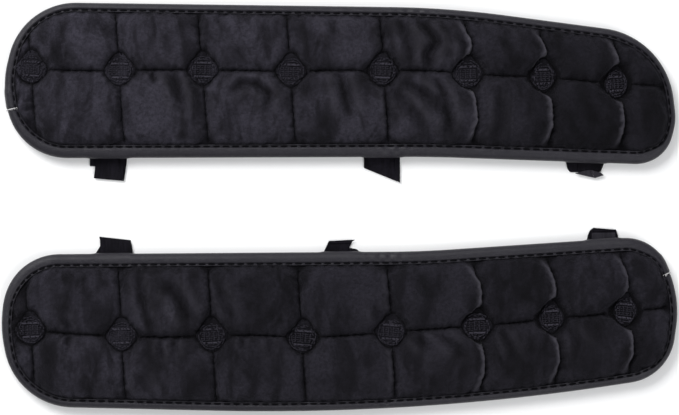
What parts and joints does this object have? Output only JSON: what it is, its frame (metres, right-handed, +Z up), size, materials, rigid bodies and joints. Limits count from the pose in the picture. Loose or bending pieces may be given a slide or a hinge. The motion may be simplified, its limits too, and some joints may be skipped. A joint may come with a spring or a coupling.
{
  "type": "forearm guard",
  "caption": "Pair of long quilted plush forearm guards with bound edges, embroidered rosettes and sewn fastening straps that swing out from the underside.",
  "frame": {"origin": "on the ground under the middle of the pair", "axes": "+X along the guards towards their tapered ends, +Y from the lower guard to the upper guard, +Z up out of the plush side"},
  "size_m": [0.4054, 0.2451, 0.0154],
  "materials": {
    "plush": "short black velvet plush with soft sheen",
    "foam": "dark grey open-cell foam",
    "backing": "matt black woven backing with fine grip dots",
    "binding": "charcoal grained leatherette, satin",
    "thread": "black polyester sewing thread",
    "embroidery": "black rayon embroidery, glossy",
    "webbing": "black woven webbing, slight sheen",
    "hook": "black nylon hook tape",
    "patch": "charcoal leatherette reinforcement patch"
  },
  "bodies": {
    "upper_pad": {"upper_backing_sheet": "backing", "upper_binding_stitching": "thread", "upper_edge_binding": "binding", "upper_foam_core": "foam", "upper_plush_cover": "plush", "upper_quilting_thread": "thread", "upper_rosettes": "embroidery", "upper_strap_1_anchor": "patch", "upper_strap_2_anchor": "patch", "upper_strap_3_anchor": "patch", "upper_strap_stitching": "thread", "upper_tab_1_anchor": "patch", "upper_tab_2_anchor": "patch", "upper_tab_3_anchor": "patch"},
    "upper_strap_1": {"upper_strap_1_band": "webbing", "upper_strap_1_hook_patch": "hook"},
    "upper_tab_1": {"upper_tab_1": "webbing"},
    "upper_strap_2": {"upper_strap_2_band": "webbing", "upper_strap_2_hook_patch": "hook"},
    "upper_tab_2": {"upper_tab_2": "webbing"},
    "upper_strap_3": {"upper_strap_3_band": "webbing", "upper_strap_3_hook_patch": "hook"},
    "upper_tab_3": {"upper_tab_3": "webbing"},
    "lower_pad": {"lower_backing_sheet": "backing", "lower_binding_stitching": "thread", "lower_edge_binding": "binding", "lower_foam_core": "foam", "lower_plush_cover": "plush", "lower_quilting_thread": "thread", "lower_rosettes": "embroidery", "lower_strap_1_anchor": "patch", "lower_strap_2_anchor": "patch", "lower_strap_3_anchor": "patch", "lower_strap_stitching": "thread", "lower_tab_1_anchor": "patch", "lower_tab_2_anchor": "patch", "lower_tab_3_anchor": "patch"},
    "lower_strap_1": {"lower_strap_1_band": "webbing", "lower_strap_1_hook_patch": "hook"},
    "lower_tab_1": {"lower_tab_1": "webbing"},
    "lower_strap_2": {"lower_strap_2_band": "webbing", "lower_strap_2_hook_patch": "hook"},
    "lower_tab_2": {"lower_tab_2": "webbing"},
    "lower_strap_3": {"lower_strap_3_band": "webbing", "lower_strap_3_hook_patch": "hook"},
    "lower_tab_3": {"lower_tab_3": "webbing"}
  },
  "joints": [
    {"name": "pair_apart", "type": "slide", "parent": "upper_pad", "child": "lower_pad", "axis": [0, -1, 0], "range_m": [0, 0.2]},
    {"name": "upper_strap_1_swing", "type": "hinge", "parent": "upper_pad", "child": "upper_strap_1", "pos_m": [-0.13833, 0.11429, 0.00045], "axis": [1, 0, 0], "range_deg": [0, 175]},
    {"name": "upper_tab_1_fold", "type": "hinge", "parent": "upper_pad", "child": "upper_tab_1", "pos_m": [-0.13833, 0.0381, 0.0006], "axis": [1, 0, 0], "range_deg": [0, 120]},
    {"name": "upper_strap_2_swing", "type": "hinge", "parent": "upper_pad", "child": "upper_strap_2", "pos_m": [0.02597, 0.11204, 0.00045], "axis": [1, 0, 0], "range_deg": [0, 175]},
    {"name": "upper_tab_2_fold", "type": "hinge", "parent": "upper_pad", "child": "upper_tab_2", "pos_m": [0.02597, 0.0385, 0.0006], "axis": [1, 0, 0], "range_deg": [0, 120]},
    {"name": "upper_strap_3_swing", "type": "hinge", "parent": "upper_pad", "child": "upper_strap_3", "pos_m": [0.14807, 0.10059, 0.00045], "axis": [1, 0, 0], "range_deg": [0, 175]},
    {"name": "upper_tab_3_fold", "type": "hinge", "parent": "upper_pad", "child": "upper_tab_3", "pos_m": [0.14807, 0.0357, 0.0006], "axis": [1, 0, 0], "range_deg": [0, 120]},
    {"name": "lower_strap_1_swing", "type": "hinge", "parent": "lower_pad", "child": "lower_strap_1", "pos_m": [-0.13603, -0.11283, 0.00045], "axis": [-1, 0, 0], "range_deg": [0, 175]},
    {"name": "lower_tab_1_fold", "type": "hinge", "parent": "lower_pad", "child": "lower_tab_1", "pos_m": [-0.13603, -0.0359, 0.0006], "axis": [-1, 0, 0], "range_deg": [0, 120]},
    {"name": "lower_strap_2_swing", "type": "hinge", "parent": "lower_pad", "child": "lower_strap_2", "pos_m": [0.00087, -0.11384, 0.00045], "axis": [-1, 0, 0], "range_deg": [0, 175]},
    {"name": "lower_tab_2_fold", "type": "hinge", "parent": "lower_pad", "child": "lower_tab_2", "pos_m": [0.00087, -0.0355, 0.0006], "axis": [-1, 0, 0], "range_deg": [0, 120]},
    {"name": "lower_strap_3_swing", "type": "hinge", "parent": "lower_pad", "child": "lower_strap_3", "pos_m": [0.15812, -0.09987, 0.00045], "axis": [-1, 0, 0], "range_deg": [0, 175]},
    {"name": "lower_tab_3_fold", "type": "hinge", "parent": "lower_pad", "child": "lower_tab_3", "pos_m": [0.15812, -0.0283, 0.0006], "axis": [-1, 0, 0], "range_deg": [0, 120]}
  ]
}
